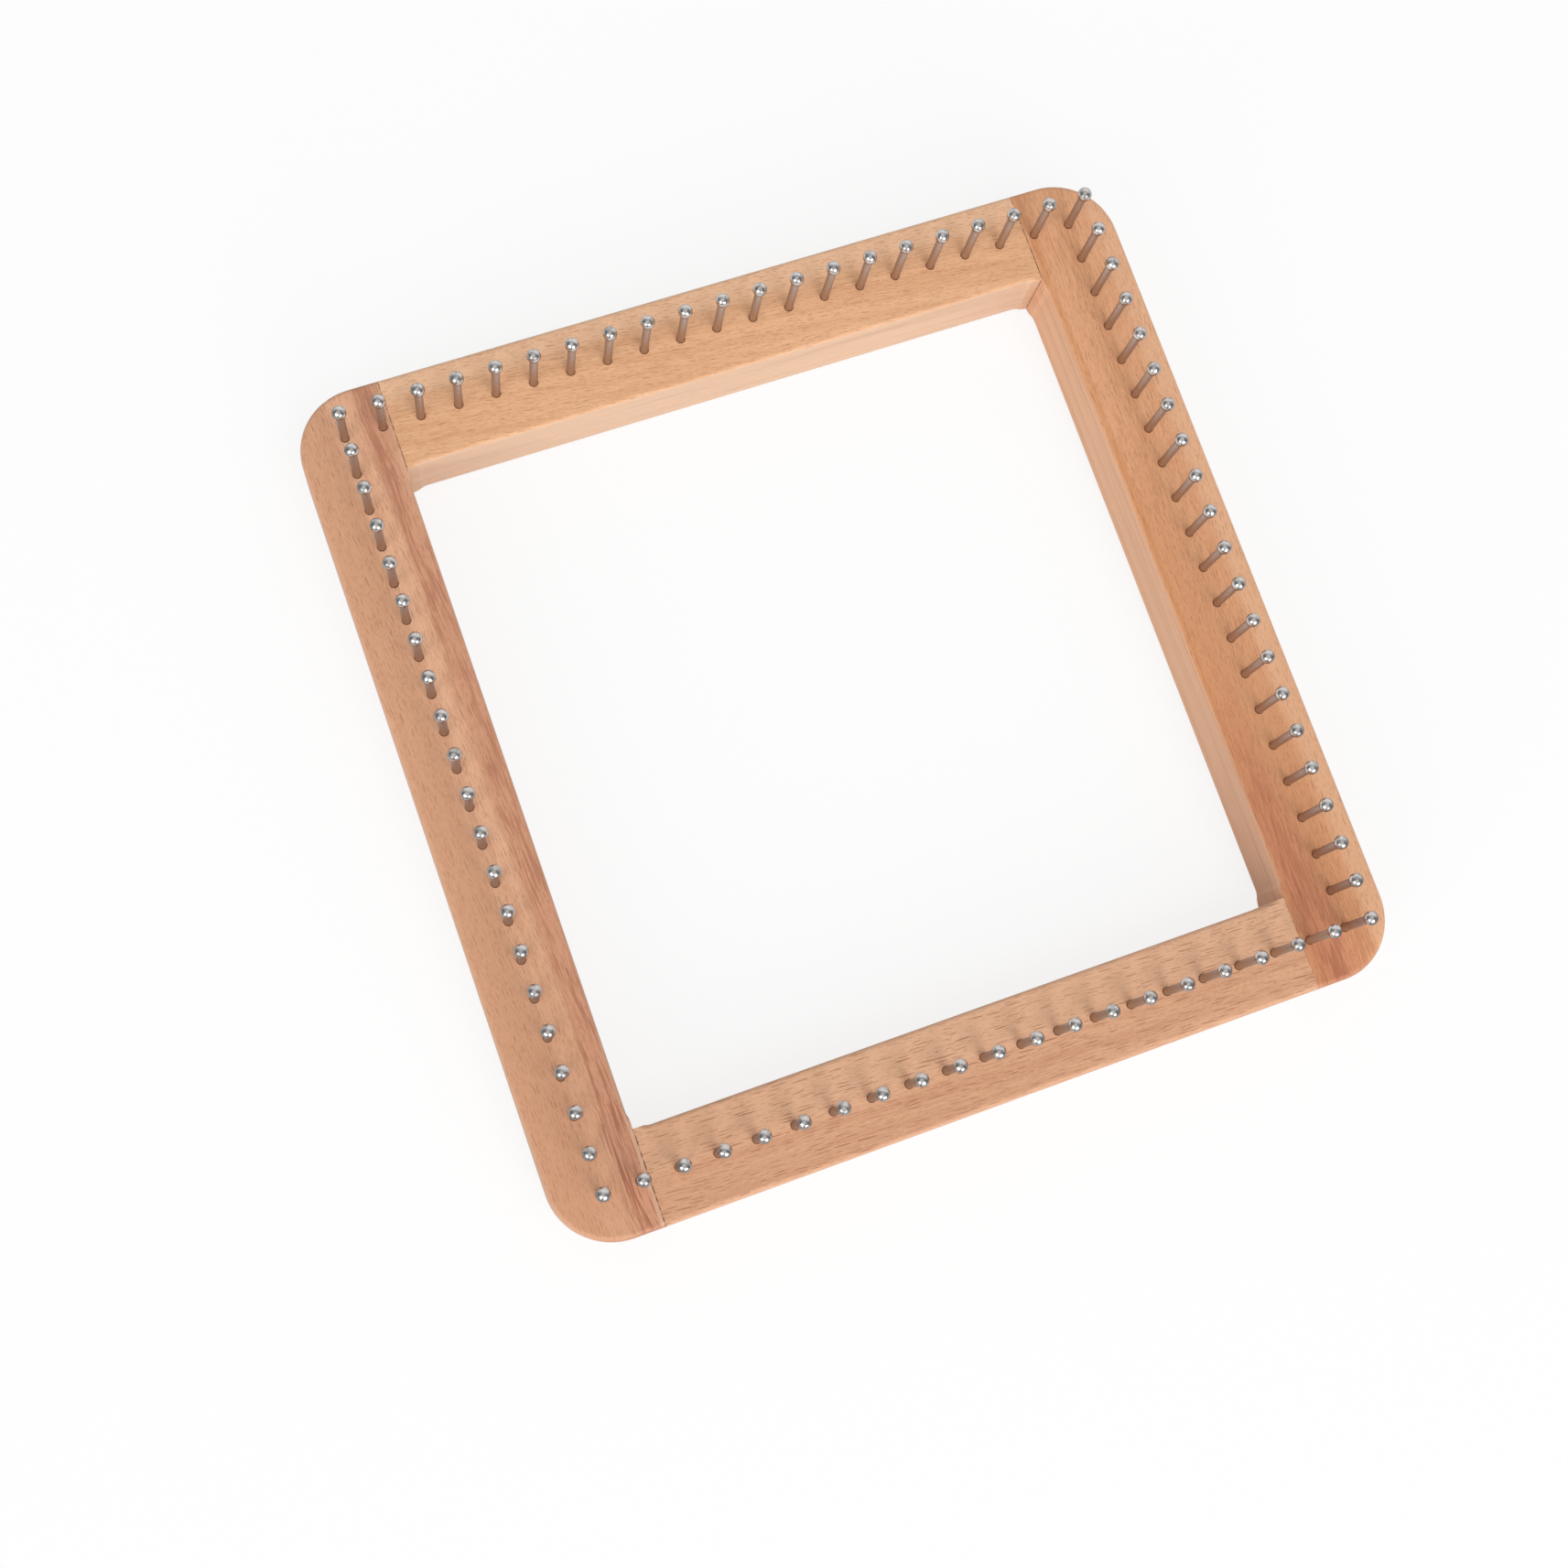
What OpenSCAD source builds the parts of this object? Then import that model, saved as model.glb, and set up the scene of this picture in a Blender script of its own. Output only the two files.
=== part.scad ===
// Potholder loom: a square frame of four beech bars with a row of ball-headed steel pegs on each side.
// Units are millimetres. The frame lies flat with its underside at z = 0, the pegs point up along +Z,
// and the origin is the middle of the underside. The stiles run along Y and the rails along X.

/* [Frame] */
// Length of each side of the square frame, outside
frame_side = 200; // [170:1:240]
// Width of each wooden bar
bar_w = 22; // [19:0.5:27]
// Thickness of the wood
bar_t = 18; // [15:0.5:24]
// Radius of the four rounded outer corners
corner_r = 15; // [8:0.5:18]
// Radius of the softened edges around the outside
outer_edge_r = 1.2; // [0.5:0.1:3]
// Wood that a router took off the faces inside the opening after the bars were glued
router_trim = 0.3; // [0.2:0.1:0.8]
// Radius of that router's cutter, which didn't reach into the corners of the opening
router_r = 4.5; // [3:0.5:8]
// Radius of the routed edge around the opening on the pegs' side
top_edge_r = 1; // [0.5:0.1:3]
// Radius of the routed edge around the opening on the underside
under_edge_r = 2; // [0.5:0.1:3]

/* [Pegs] */
// Number of pegs along one side, counting both corners
peg_count = 21; // [17:1:23]
// Height of the ball's centre above the wood
ball_rise = 16.2; // [10:0.2:24]
// Diameter of the ball head
ball_d = 3.2; // [2.8:0.1:4.5]
// Diameter of the shank
shank_d = 1.9; // [1.4:0.1:2.2]
// Diameter of the collar rolled into the shank under the ball
collar_d = 2.4; // [2.3:0.1:2.7]
// Height of the collar
collar_h = 0.4; // [0.2:0.1:0.8]
// Depth of the groove between the collar and the shank, on radius
groove_depth = 0.15; // [0.05:0.05:0.3]
// Width of that groove
groove_w = 0.3; // [0.2:0.1:0.6]
// Depth that a peg is driven into the wood
peg_seat = 7; // [5:0.5:8]
// Size of the bevel around a peg's foot
foot_bevel = 0.3; // [0.1:0.1:0.5]

/* [Peg holes] */
// Clearance around a shank in its hole, on radius
peg_fit = 0.02; // [0.01:0.01:0.06]
// Space below a peg's foot, down to where the drill's point begins
hole_spare = 0.3; // [0.1:0.1:0.6]
// Width of the worn mouth around a hole, on radius
mouth_w = 0.12; // [0.06:0.02:0.3]
// Depth of that mouth
mouth_depth = 0.2; // [0.1:0.1:0.6]

/* [Dowels] */
// Diameter of a dowel
dowel_d = 5; // [4:0.5:6]
// Length of a dowel, half in the rail and half in the stile
dowel_l = 24; // [16:1:28]
// Distance between the middles of the two dowels of one joint
dowel_spread = 11; // [8:0.5:12]
// Size of the bevel at a dowel's ends
dowel_bevel = 0.6; // [0.3:0.1:1]
// Number of glue flutes along a dowel
flute_count = 8; // [5:1:10]
// Radius of a flute
flute_r = 0.35; // [0.25:0.05:0.5]
// Depth of a flute
flute_depth = 0.25; // [0.1:0.05:0.25]
// Clearance around a dowel in its hole, on radius
dowel_fit = 0.05; // [0.02:0.01:0.1]
// Space past each end of a dowel, up to where the drill's point begins
dowel_spare = 0.5; // [0.2:0.1:1]

/* [Hidden] */
// Angle between a drill's cutting edge and the floor it would leave if it were flat
drill_slope = 31;
// Distance that a cutting tool reaches past the face it cuts through
past = 1;
// Facets asked for on a full circle
$fn = 48;
function drill_point(r) = r * tan(drill_slope);

half_side = frame_side / 2;
open_half = half_side - bar_w;
beyond = half_side + past;

// The pegs stand on the middle line of the bars, one on each corner
peg_line = half_side - bar_w / 2;
peg_gaps = round(peg_count) - 1;
peg_pitch = 2 * peg_line / peg_gaps;
hole_r = shank_d / 2 + peg_fit;
mouth_r = hole_r + mouth_w;
hole_depth = peg_seat + hole_spare;

// Pegs of a row are counted from 0 at one corner to peg_gaps at the other. The seams divide them:
// last_in_rail is the last one whose hole reaches into the rail, first_in_stile the first in the stile
last_in_rail = floor((peg_line + open_half + mouth_r) / peg_pitch);
first_in_stile = ceil((peg_line + open_half - mouth_r) / peg_pitch);

// Turns that bring the right side's row of pegs to the other sides of the frame
right_turn = 0;
top_turn = 90;
left_turn = 180;
bottom_turn = 270;

// The dowels run halfway down in the wood that is left under the pegs' holes
dowel_z = (bar_t - hole_depth - drill_point(hole_r)) / 2;
dowel_hole_r = dowel_d / 2 + dowel_fit;
dowel_hole_depth = dowel_l / 2 + dowel_spare;

stile_tone = "#d9a27c";
rail_tone = "#e2b184";
dowel_tone = "#e6c79c";
steel_tone = "#c4c7cc";

// A strip of the section w wide and as high as the wood, with its corners at x = 0 rounded
module softened_strip(w, low_r, high_r) {
    translate([0, low_r]) square([w, bar_t - low_r - high_r]);
    translate([low_r, 0]) square([w - low_r, bar_t / 2]);
    translate([high_r, bar_t / 2]) square([w - high_r, bar_t / 2]);
    translate([low_r, low_r]) circle(r = low_r);
    translate([high_r, bar_t - high_r]) circle(r = high_r);
}

// Carries a section around a square with rounded corners; the section's x counts outward from its side
module around_square(half, r) {
    straight = half - r;
    for (turn = [0:90:270])
        rotate([0, 0, turn]) {
            translate([half, straight, 0]) rotate([90, 0, 0]) linear_extrude(2 * straight) children();
            translate([straight, straight, 0]) rotate_extrude(angle = 90) translate([r, 0]) children();
        }
}

// The whole square slab with its rounded corners and softened outer edges
module slab() {
    core = frame_side - 2 * corner_r;
    around_square(half_side, corner_r)
        mirror([1, 0]) softened_strip(corner_r, outer_edge_r, outer_edge_r);
    translate([-core / 2, -core / 2, 0]) cube([core, core, bar_t]);
}

// Everything that the router left around the opening, out past the frame's corners
module routed_surround() {
    around_square(open_half + router_trim, router_r)
        softened_strip(2 * bar_w, under_edge_r, top_edge_r);
}

// The bar that lies between two corners, low and high, as the router left it
module bar(low, high) {
    intersection() {
        slab();
        routed_surround();
        translate([low[0], low[1], -past])
            cube([high[0] - low[0], high[1] - low[1], bar_t + 2 * past]);
    }
}

// Places a child on the wood at each peg of one side, from the first to the last
module at_pegs(turn, first, last) {
    rotate([0, 0, turn])
        for (k = [first:last])
            translate([peg_line, k * peg_pitch - peg_line, bar_t]) children();
}

// A hole for a peg, with its mouth at z = 0 and the drill's point below
module peg_hole() {
    rotate_extrude()
        polygon([
            [0, -hole_depth - drill_point(hole_r)], [hole_r, -hole_depth], [hole_r, -mouth_depth],
            [mouth_r, 0], [mouth_r, past], [0, past]
        ]);
}

// Places a child at a dowel's middle, turned so that its Z runs along the dowel. Side and end are
// -1 or 1, and spread is 1 for the dowel near the outside and -1 for the one near the opening
module at_dowel(side, end, spread) {
    translate([side * open_half, end * (peg_line + spread * dowel_spread / 2), dowel_z])
        rotate([0, 90, 0]) children();
}

// A hole for a dowel that runs through a seam, with the drill's point at both ends
module dowel_hole() {
    point = dowel_hole_depth + drill_point(dowel_hole_r);
    rotate_extrude()
        polygon([
            [0, -point], [dowel_hole_r, -dowel_hole_depth],
            [dowel_hole_r, dowel_hole_depth], [0, point]
        ]);
}

// Full-length bar on the right: it holds its own row of pegs and the outermost pegs of both rails
module stile() {
    color(stile_tone)
        difference() {
            bar([open_half, -beyond], [beyond, beyond]);
            at_pegs(right_turn, 0, peg_gaps) peg_hole();
            at_pegs(top_turn, 1, peg_gaps - first_in_stile) peg_hole();
            at_pegs(bottom_turn, first_in_stile, peg_gaps - 1) peg_hole();
            for (end = [-1, 1], spread = [-1, 1]) at_dowel(1, end, spread) dowel_hole();
        }
}

// Cross bar at the top, between the stiles: its ends are glued and dowelled to them
module rail() {
    color(rail_tone)
        difference() {
            bar([-open_half, open_half], [open_half, beyond]);
            at_pegs(top_turn, peg_gaps - last_in_rail, last_in_rail) peg_hole();
            for (side = [-1, 1], spread = [-1, 1]) at_dowel(side, 1, spread) dowel_hole();
        }
}

// Fluted dowel with bevelled ends
module dowel(side, end, spread) {
    tip = dowel_l / 2;
    shoulder = tip - dowel_bevel;
    dowel_r = dowel_d / 2;
    color(dowel_tone)
        at_dowel(side, end, spread)
            difference() {
                rotate_extrude()
                    polygon([
                        [0, -tip], [dowel_r - dowel_bevel, -tip], [dowel_r, -shoulder],
                        [dowel_r, shoulder], [dowel_r - dowel_bevel, tip], [0, tip]
                    ]);
                for (k = [1:flute_count])
                    rotate([0, 0, k * 360 / flute_count])
                        translate([dowel_r - flute_depth + flute_r, 0, 0])
                            cylinder(r = flute_r, h = dowel_l + past, center = true);
            }
}

// Ball-headed steel peg, standing on the wood's face at z = 0
module peg() {
    shank_r = shank_d / 2;
    neck_z = ball_rise - sqrt(pow(ball_d / 2, 2) - pow(collar_d / 2, 2));
    groove_z = neck_z - collar_h;
    color(steel_tone) {
        translate([0, 0, ball_rise]) sphere(d = ball_d);
        rotate_extrude()
            polygon([
                [0, -peg_seat], [shank_r - foot_bevel, -peg_seat], [shank_r, foot_bevel - peg_seat],
                [shank_r, groove_z - groove_w], [shank_r - groove_depth, groove_z - groove_w / 2],
                [shank_r, groove_z], [collar_d / 2, groove_z], [collar_d / 2, neck_z], [0, ball_rise]
            ]);
    }
}

// The pegs of one side without the two on its corners
module peg_row(turn) {
    at_pegs(turn, 1, peg_gaps - 1) peg();
}

module corner_peg(turn) {
    at_pegs(turn, peg_gaps, peg_gaps) peg();
}

module left_stile() mirror([1, 0, 0]) stile();
module right_stile() stile();
module top_rail() rail();
module bottom_rail() mirror([0, 1, 0]) rail();

module top_left_outer_dowel() dowel(-1, 1, 1);
module top_left_inner_dowel() dowel(-1, 1, -1);
module top_right_outer_dowel() dowel(1, 1, 1);
module top_right_inner_dowel() dowel(1, 1, -1);
module bottom_left_outer_dowel() dowel(-1, -1, 1);
module bottom_left_inner_dowel() dowel(-1, -1, -1);
module bottom_right_outer_dowel() dowel(1, -1, 1);
module bottom_right_inner_dowel() dowel(1, -1, -1);

module top_right_peg() corner_peg(right_turn);
module top_left_peg() corner_peg(top_turn);
module bottom_left_peg() corner_peg(left_turn);
module bottom_right_peg() corner_peg(bottom_turn);

module right_row_pegs() peg_row(right_turn);
module top_row_pegs() peg_row(top_turn);
module left_row_pegs() peg_row(left_turn);
module bottom_row_pegs() peg_row(bottom_turn);

left_stile();
right_stile();
top_rail();
bottom_rail();
top_left_outer_dowel();
top_left_inner_dowel();
top_right_outer_dowel();
top_right_inner_dowel();
bottom_left_outer_dowel();
bottom_left_inner_dowel();
bottom_right_outer_dowel();
bottom_right_inner_dowel();
top_left_peg();
top_right_peg();
bottom_left_peg();
bottom_right_peg();
top_row_pegs();
bottom_row_pegs();
left_row_pegs();
right_row_pegs();
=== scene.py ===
"""Dressing and product picture of a potholder loom.

The loom is a square frame of four beech bars, dowelled and glued at the corners, with a row of
ball-headed steel pegs on every side. All places are in metres in the frame's own axes: the
underside lies at z = 0, the stiles run along Y and the rails along X. Finishes work in millimetres.
"""

import logging
import math
from dataclasses import dataclass
from enum import Enum

import bmesh
import bpy
from mathutils import Matrix, Vector

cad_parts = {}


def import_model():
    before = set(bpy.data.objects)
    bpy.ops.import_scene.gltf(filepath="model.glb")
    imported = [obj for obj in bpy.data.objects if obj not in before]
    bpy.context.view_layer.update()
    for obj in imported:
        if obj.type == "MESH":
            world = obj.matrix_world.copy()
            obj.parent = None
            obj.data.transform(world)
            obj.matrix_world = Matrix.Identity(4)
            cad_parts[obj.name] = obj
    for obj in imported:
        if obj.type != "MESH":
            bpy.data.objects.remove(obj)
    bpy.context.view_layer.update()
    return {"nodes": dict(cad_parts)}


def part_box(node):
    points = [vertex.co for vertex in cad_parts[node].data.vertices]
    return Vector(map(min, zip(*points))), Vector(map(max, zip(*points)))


Socket = bpy.types.NodeSocket
Tone = tuple[int, int, int]
Triple = tuple[float, float, float]
Axes = tuple[Socket, Socket, Socket]
# Where a fade starts and where it is full
Fade = tuple[float, float]

LOG = logging.getLogger("potholder_loom")

# A millimetre in metres, and the scale that turns metres into millimetres
MM = 0.001
TO_MM = (1 / MM,) * 3

WHITE = (1.0, 1.0, 1.0, 1.0)


@dataclass(frozen=True)
class Layout:
    """Places on the loom, in millimetres from its middle or above its underside.

    The frame is square. Its pegs stand along the middle of every bar, with a corner peg at both ends.
    """

    half_side: float
    half_opening: float
    wood_top: float
    peg_top: float
    pegs_a_side: int = 21

    @classmethod
    def measured(cls) -> "Layout":
        """Reads the places from the solids.

        Returns:
            The places, to a hundredth of a millimetre.
        """
        inner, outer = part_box("right_stile")
        _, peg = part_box("top_right_peg")
        places = (outer.x, inner.x, outer.z, peg.z)
        return cls(*(round(place / MM, 2) for place in places))

    @property
    def peg_line(self) -> float:
        """Distance from the middle to every row of pegs."""
        return (self.half_side + self.half_opening) / 2

    @property
    def peg_pitch(self) -> float:
        """Distance between two pegs of a side."""
        return 2 * self.peg_line / (self.pegs_a_side - 1)


def linear(tone: Tone) -> tuple[float, float, float, float]:
    """Turns a colour as seen on a screen into the light values that a shader takes.

    Args:
        tone: red, green and blue from 0 to 255.

    Returns:
        The same colour as linear light, with full alpha.
    """
    levels = [level / 255 for level in tone]
    # The usual curve of screens, straight near black and a power above
    light = [v / 12.92 if v <= 0.04045 else ((v + 0.055) / 1.055) ** 2.4 for v in levels]
    return (light[0], light[1], light[2], 1.0)


class NodeSheet:
    """One node tree, laid out from empty and wired as each node comes."""

    def __init__(self, tree: bpy.types.NodeTree) -> None:
        """Takes over the tree of a material or of the world and clears it."""
        self.tree = tree
        tree.nodes.clear()

    def feed(self, socket: Socket, value: object) -> None:
        """Sets a socket to a plain value, or wires it to another node's output.

        Args:
            socket: the input that is fed.
            value: an output socket, or a number, colour or vector.
        """
        if isinstance(value, bpy.types.NodeSocket):
            self.tree.links.new(value, socket)
        else:
            socket.default_value = value

    def add(
        self, kind: str, feeds: dict[str | int, object] | None = None, **settings: object
    ) -> bpy.types.Node:
        """Adds a node.

        Args:
            kind: Blender's name of the node's type.
            feeds: what goes into each named or numbered input.
            **settings: the node's own options.

        Returns:
            The new node.
        """
        node = self.tree.nodes.new(kind)
        for name, choice in settings.items():
            setattr(node, name, choice)
        for key, value in (feeds or {}).items():
            self.feed(node.inputs[key], value)
        return node

    def math(
        self,
        operation: str,
        first: object,
        second: object = 0.0,
        third: object = 0.0,
        clamp: bool = False,
    ) -> Socket:
        """Combines up to three numbers by a Math node's operation, and may hold the result in 0 to 1."""
        feeds = {0: first, 1: second, 2: third}
        return self.add("ShaderNodeMath", feeds, operation=operation, use_clamp=clamp).outputs[0]

    def swing(self, pattern: Socket, reach: float) -> Socket:
        """Turns a cloudy pattern around 0.5 into a push to either side of 0."""
        return self.math("MULTIPLY", self.math("SUBTRACT", pattern, 0.5), reach)

    def vector(self, operation: str, first: object, second: object = (0.0, 0.0, 0.0)) -> Socket:
        """Combines one or two vectors, into a number where a length or a dot product is asked for."""
        node = self.add("ShaderNodeVectorMath", {0: first, 1: second}, operation=operation)
        return node.outputs["Value" if operation in ("LENGTH", "DOT_PRODUCT") else "Vector"]

    def fade(self, value: Socket, start: object, end: object) -> Socket:
        """Rises smoothly from 0 to 1 while a value goes from start to end, which may be below start."""
        feeds = {"Value": value, "From Min": start, "From Max": end}
        return self.add("ShaderNodeMapRange", feeds, interpolation_type="SMOOTHSTEP").outputs["Result"]

    def ripple(self, value: Socket, scale: float, detail: float) -> Socket:
        """Cloudy pattern from about 0.25 to 0.75 along a single number, with finer layers as detail says."""
        feeds = {"W": value, "Scale": scale, "Detail": detail}
        return self.add("ShaderNodeTexNoise", feeds, noise_dimensions="1D").outputs[0]

    def mix(self, factor: object, first: object, second: object, blend: str = "MIX") -> Socket:
        """Mixes two colours.

        Args:
            factor: 0 for the first colour, 1 for the second.
            first: the first colour.
            second: the second colour.
            blend: the way that the second colour acts on the first.

        Returns:
            The mixed colour.
        """
        # The node has its colours at inputs 6 and 7 and at output 2
        feeds = {0: factor, 6: first, 7: second}
        node = self.add("ShaderNodeMix", feeds, data_type="RGBA", blend_type=blend, clamp_factor=True)
        return node.outputs[2]

    def tint(self, colour: object, share: Socket, strength: float, tone: Tone, blend: str = "MIX") -> Socket:
        """Lays a tone over a share of a colour, and with the given strength where the share is full."""
        return self.mix(self.math("MULTIPLY", share, strength), colour, linear(tone), blend)

    def parts(self, vector: Socket) -> Axes:
        """Splits a vector into its x, y and z."""
        outs = self.add("ShaderNodeSeparateXYZ", {0: vector}).outputs
        return outs[0], outs[1], outs[2]

    def join(self, x: object = 0.0, y: object = 0.0, z: object = 0.0) -> Socket:
        """Makes a vector of an x, a y and a z."""
        return self.add("ShaderNodeCombineXYZ", {"X": x, "Y": y, "Z": z}).outputs[0]

    def surface(self, feeds: dict[str, object], relief: Socket, strength: float, depth: float) -> None:
        """Ends a material's tree in a shader with a fine relief.

        Args:
            feeds: what goes into the shader's inputs.
            relief: height of the relief, where 1 is its full depth.
            strength: how strongly the relief shows.
            depth: the relief's full depth, in millimetres.
        """
        bump = self.add("ShaderNodeBump", {"Height": relief, "Strength": strength, "Distance": depth * MM})
        shader = self.add("ShaderNodeBsdfPrincipled", {**feeds, "Normal": bump.outputs[0]})
        self.add("ShaderNodeOutputMaterial", {"Surface": shader.outputs[0]})


def fresh_material(name: str) -> tuple[bpy.types.Material, NodeSheet]:
    """Starts a material.

    Args:
        name: the material's name.

    Returns:
        The material and its empty node tree.
    """
    material = bpy.data.materials.new(name)
    material.use_nodes = True
    return material, NodeSheet(material.node_tree)


@dataclass(frozen=True)
class Cloud:
    """A cloudy pattern from about 0.25 to 0.75.

    The size is that of its clouds along each axis, in millimetres. The detail is how many finer layers
    it has, each as strong as the one before times the roughness. The reach is how far it pushes what it
    acts on.
    """

    size: Triple
    detail: float
    reach: float = 1.0
    roughness: float = 0.55

    def lay(self, sheet: NodeSheet, place: Socket) -> Socket:
        """Draws the pattern.

        Args:
            sheet: the finish's nodes.
            place: the point, in millimetres.

        Returns:
            The pattern's value.
        """
        scaled = sheet.vector("DIVIDE", place, self.size)
        feeds = {"Vector": scaled, "Scale": 1.0, "Detail": self.detail, "Roughness": self.roughness}
        return sheet.add("ShaderNodeTexNoise", feeds).outputs[0]

    def push(self, sheet: NodeSheet, place: Socket) -> Socket:
        """Draws the pattern as a push to either side of 0."""
        return sheet.swing(self.lay(sheet, place), self.reach)


class Run(Enum):
    """Direction in which a bar runs, by the turn in degrees that lays the grain along it."""

    ALONG_X = 0.0
    ALONG_Y = -90.0

    def sort(self, axes: Axes) -> tuple[Socket, Socket]:
        """Gives the one of x and y that goes along the bar, then the one across it."""
        x, y, _ = axes
        return (x, y) if self is Run.ALONG_X else (y, x)


@dataclass(frozen=True)
class RayFlecks:
    """Short dark dashes that beech shows where its rays are cut across.

    Lengths are in millimetres. Each fleck is the smallest share of the full size, or up to the size
    range more, and each is paler or darker than the next.
    """

    length: float = 3.2
    thickness: float = 0.17
    depth: float = 5.0
    spacing: Triple = (4.2, 0.95, 9.0)
    strength: float = 0.5
    tone: Tone = (158, 98, 64)
    smallest: float = 0.45
    size_range: float = 0.75
    edge: Fade = (1.1, 0.65)
    weights: Fade = (0.05, 0.95)

    def lay(self, sheet: NodeSheet, place: Socket) -> Socket:
        """Draws the flecks.

        Args:
            sheet: the finish's nodes.
            place: the point along, across and down through the wood.

        Returns:
            How strongly a fleck covers the point, from 0 to 1.
        """
        cells = sheet.vector("DIVIDE", place, self.spacing)
        feeds = {"Vector": cells, "Scale": 1.0, "Randomness": 1.0}
        dots = sheet.add("ShaderNodeTexVoronoi", feeds, feature="F1")
        chance, weight, _ = sheet.parts(dots.outputs["Color"])
        away = sheet.vector("SUBTRACT", cells, dots.outputs["Position"])
        sizes = (self.length / 2, self.thickness / 2, self.depth / 2)
        reach = tuple(gap / size for gap, size in zip(self.spacing, sizes))
        off = sheet.vector("LENGTH", sheet.vector("MULTIPLY", away, reach))
        limit = sheet.math("MULTIPLY_ADD", chance, self.size_range, self.smallest)
        body = sheet.fade(sheet.math("DIVIDE", off, limit), *self.edge)
        return sheet.math("MULTIPLY", body, sheet.fade(weight, *self.weights))


@dataclass(frozen=True)
class Streak:
    """A band of other coloured wood along a bar. Distances are in millimetres.

    The inset counts from the bar's outer edge towards the opening, and the place along the bar is x
    or y in the frame's own axes. The band rises from nothing at start to its strength at end, drifts
    sideways along the bar, and keeps to the coarse fibres as far as fibre says.
    """

    inset: float
    half_width: float
    tone: Tone
    strength: float
    start: float = -140.0
    end: float = -130.0
    drift: float = 0.0
    softness: float = 2.0
    fibre: float = 0.0

    def lay(self, sheet: NodeSheet, inset: Socket, along: Socket, strands: Socket) -> Socket:
        """Draws the band.

        Args:
            sheet: the finish's nodes.
            inset: distance in from the outer edge.
            along: place along the bar.
            strands: 1 on the coarse fibres that take the band's colour and 0 between them.

        Returns:
            How strongly the band covers the point, from 0 to its strength.
        """
        line = sheet.math("MULTIPLY_ADD", along, self.drift, self.inset)
        off = sheet.math("ABSOLUTE", sheet.math("SUBTRACT", inset, line))
        soft = self.softness / 2
        band = sheet.fade(off, self.half_width + soft, self.half_width - soft)
        stretch = sheet.math("MULTIPLY", band, sheet.fade(along, self.start, self.end))
        share = sheet.math("MULTIPLY_ADD", strands, self.fibre, 1.0 - self.fibre)
        return sheet.math("MULTIPLY", sheet.math("MULTIPLY", stretch, share), self.strength)


@dataclass(frozen=True)
class Figure:
    """Ground colour of the wood: growth rings, clouds and fibres between a pale and a deep tone.

    Lengths are in millimetres. The rings lie around the pith, whose place is given across and down
    through the wood. Each ring darkens through its year and ends at a clear line, and some are darker.
    """

    pale: Tone
    deep: Tone
    middle: float = 0.42
    pith: tuple[float, float] = (6.0, -70.0)
    ring_gap: float = 3.4
    ring_strength: float = 0.22
    ring_rise: Fade = (0.35, 0.93)
    ring_end: Fade = (1.0, 0.93)
    year_scale: float = 0.7
    year_detail: float = 2.0
    year_reach: float = 0.5
    clouds: Cloud = Cloud((60.0, 7.0, 9.0), 3.0, reach=1.3)

    def lay(self, sheet: NodeSheet, fibres: Socket, pushes: tuple[Socket, ...]) -> Socket:
        """Draws the ground colour.

        Args:
            sheet: the finish's nodes.
            fibres: the point as the fibres count it.
            pushes: how far each pattern of fibres pushes the colour to its deep tone.

        Returns:
            The colour.
        """
        _, across, down = sheet.parts(fibres)
        side = sheet.math("SUBTRACT", across, self.pith[0])
        below = sheet.math("SUBTRACT", down, self.pith[1])
        radius = sheet.vector("LENGTH", sheet.join(side, below))
        years = sheet.math("DIVIDE", radius, self.ring_gap)
        season = sheet.math("FRACT", years)
        rise = sheet.fade(season, *self.ring_rise)
        late = sheet.math("MULTIPLY", rise, sheet.fade(season, *self.ring_end))
        tone = sheet.math("MULTIPLY", late, self.ring_strength)
        yearly = sheet.swing(sheet.ripple(years, self.year_scale, self.year_detail), self.year_reach)
        for push in (yearly, self.clouds.push(sheet, fibres), *pushes):
            tone = sheet.math("ADD", tone, push)
        tone = sheet.math("ADD", tone, self.middle, clamp=True)
        return sheet.mix(tone, linear(self.pale), linear(self.deep))


@dataclass(frozen=True)
class CutFace:
    """Wood of the bar's sides, with the fine growth lines that run along them.

    Lengths are in millimetres. The lines climb by a small share of their length and wander on the way.
    The tone covers the figure by its least cover, and by more on the coarse fibres.
    """

    tone: Tone = (214, 173, 146)
    least_cover: float = 0.52
    fibre_cover: float = 0.6
    line_tone: Tone = (214, 196, 184)
    line_strength: float = 0.5
    line_edge: Fade = (0.82, 1.08)
    climb: float = 0.014
    sway: Cloud = Cloud((55.0, 14.0, 14.0), 1.0, reach=3.0)
    lines: Cloud = Cloud((60.0, 5.0, 0.55), 3.0)
    years: Cloud = Cloud((110.0, 9.0, 3.2), 2.0, reach=0.7)

    def lay(self, sheet: NodeSheet, fibres: Socket) -> Socket:
        """Draws the sides.

        Args:
            sheet: the finish's nodes.
            fibres: the point as the fibres count it.

        Returns:
            The colour.
        """
        along, across, down = sheet.parts(fibres)
        rise = sheet.math("MULTIPLY_ADD", along, self.climb, self.sway.push(sheet, fibres))
        course = sheet.join(along, across, sheet.math("ADD", down, rise))
        lines = self.lines.lay(sheet, course)
        years = self.years.lay(sheet, course)
        grown = sheet.fade(sheet.math("MULTIPLY_ADD", years, self.years.reach, lines), *self.line_edge)
        return sheet.tint(linear(self.tone), grown, self.line_strength, self.line_tone, "MULTIPLY")

    def cover(self, sheet: NodeSheet, strands: Socket) -> Socket:
        """Tells how far the sides' own tone covers the figure, from 0 to 1."""
        return sheet.math("MULTIPLY_ADD", strands, self.fibre_cover, self.least_cover, clamp=True)


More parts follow.
